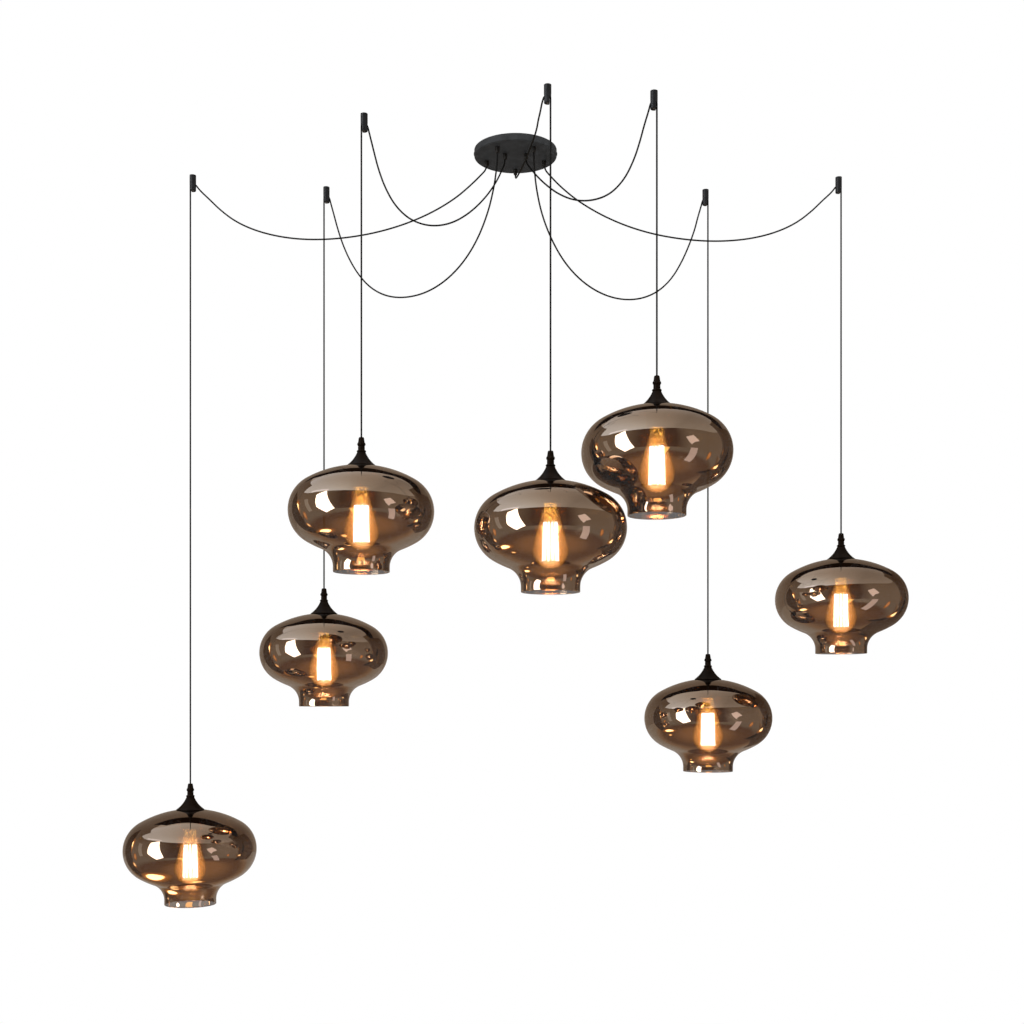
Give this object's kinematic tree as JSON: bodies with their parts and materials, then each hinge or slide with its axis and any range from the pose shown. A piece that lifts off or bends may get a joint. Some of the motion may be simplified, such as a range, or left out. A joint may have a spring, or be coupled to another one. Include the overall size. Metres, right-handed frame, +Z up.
{
  "type": "pendant light",
  "caption": "Cluster pendant light with a round ceiling canopy, cords swagged to ceiling hooks, and onion-shaped smoked glass shades over filament bulbs.",
  "frame": {"origin": "centre of the canopy in the plane of the ceiling, between the mounting bar's two slots", "axes": "+Z up into the ceiling, +X to the viewer's right along the mounting bar, +Y away from the viewer"},
  "size_m": [1.5909, 0.7348, 1.4824],
  "materials": {
    "black_metal": "satin black",
    "zinc_steel": "zinc plated",
    "brass": "plain",
    "white_plastic": "matt",
    "black_plastic": "matt",
    "black_cord": "smooth sheath",
    "smoke_glass": "smoked, plated",
    "bulb_glass": "amber, clear"
  },
  "bodies": {
    "ceiling_fixture": {"canopy_pan": "black_metal", "mounting_bar": "zinc_steel", "canopy_screws": "black_metal", "earth_screw": "brass", "terminal_block": "white_plastic", "cord_glands": "black_plastic", "gland_nuts": "zinc_steel", "hook_bases": "zinc_steel", "hook_barrels": "black_metal", "hook_clamps": "zinc_steel", "swag_cord_1": "black_cord", "swag_cord_2": "black_cord", "swag_cord_3": "black_cord", "swag_cord_4": "black_cord", "swag_cord_5": "black_cord", "swag_cord_6": "black_cord", "swag_cord_7": "black_cord"},
    "pendant_1": {"drop_cord_1": "black_cord", "cord_grip_1": "black_metal", "cap_1": "black_metal", "shade_1": "smoke_glass", "lamp_holder_1": "black_plastic", "bulb_1": "bulb_glass"},
    "pendant_2": {"drop_cord_2": "black_cord", "cord_grip_2": "black_metal", "cap_2": "black_metal", "shade_2": "smoke_glass", "lamp_holder_2": "black_plastic", "bulb_2": "bulb_glass"},
    "pendant_3": {"drop_cord_3": "black_cord", "cord_grip_3": "black_metal", "cap_3": "black_metal", "shade_3": "smoke_glass", "lamp_holder_3": "black_plastic", "bulb_3": "bulb_glass"},
    "pendant_4": {"drop_cord_4": "black_cord", "cord_grip_4": "black_metal", "cap_4": "black_metal", "shade_4": "smoke_glass", "lamp_holder_4": "black_plastic", "bulb_4": "bulb_glass"},
    "pendant_5": {"drop_cord_5": "black_cord", "cord_grip_5": "black_metal", "cap_5": "black_metal", "shade_5": "smoke_glass", "lamp_holder_5": "black_plastic", "bulb_5": "bulb_glass"},
    "pendant_6": {"drop_cord_6": "black_cord", "cord_grip_6": "black_metal", "cap_6": "black_metal", "shade_6": "smoke_glass", "lamp_holder_6": "black_plastic", "bulb_6": "bulb_glass"},
    "pendant_7": {"drop_cord_7": "black_cord", "cord_grip_7": "black_metal", "cap_7": "black_metal", "shade_7": "smoke_glass", "lamp_holder_7": "black_plastic", "bulb_7": "bulb_glass"}
  },
  "joints": [
    {"name": "pendant_1_swing", "type": "hinge", "parent": "ceiling_fixture", "child": "pendant_1", "pos_m": [-0.661, 0.121, -0.0229], "axis": [1, 0, 0], "range_deg": [-10, 10]},
    {"name": "pendant_2_swing", "type": "hinge", "parent": "ceiling_fixture", "child": "pendant_2", "pos_m": [-0.398, 0.183, -0.0229], "axis": [1, 0, 0], "range_deg": [-10, 10]},
    {"name": "pendant_3_swing", "type": "hinge", "parent": "ceiling_fixture", "child": "pendant_3", "pos_m": [-0.281, -0.16, -0.0229], "axis": [1, 0, 0], "range_deg": [-10, 10]},
    {"name": "pendant_4_swing", "type": "hinge", "parent": "ceiling_fixture", "child": "pendant_4", "pos_m": [0.06, -0.273, -0.0229], "axis": [1, 0, 0], "range_deg": [-10, 10]},
    {"name": "pendant_5_swing", "type": "hinge", "parent": "ceiling_fixture", "child": "pendant_5", "pos_m": [0.247, -0.25, -0.0229], "axis": [1, 0, 0], "range_deg": [-10, 10]},
    {"name": "pendant_6_swing", "type": "hinge", "parent": "ceiling_fixture", "child": "pendant_6", "pos_m": [0.403, 0.197, -0.0229], "axis": [1, 0, 0], "range_deg": [-10, 10]},
    {"name": "pendant_7_swing", "type": "hinge", "parent": "ceiling_fixture", "child": "pendant_7", "pos_m": [0.665, 0.131, -0.0229], "axis": [1, 0, 0], "range_deg": [-10, 10]}
  ]
}
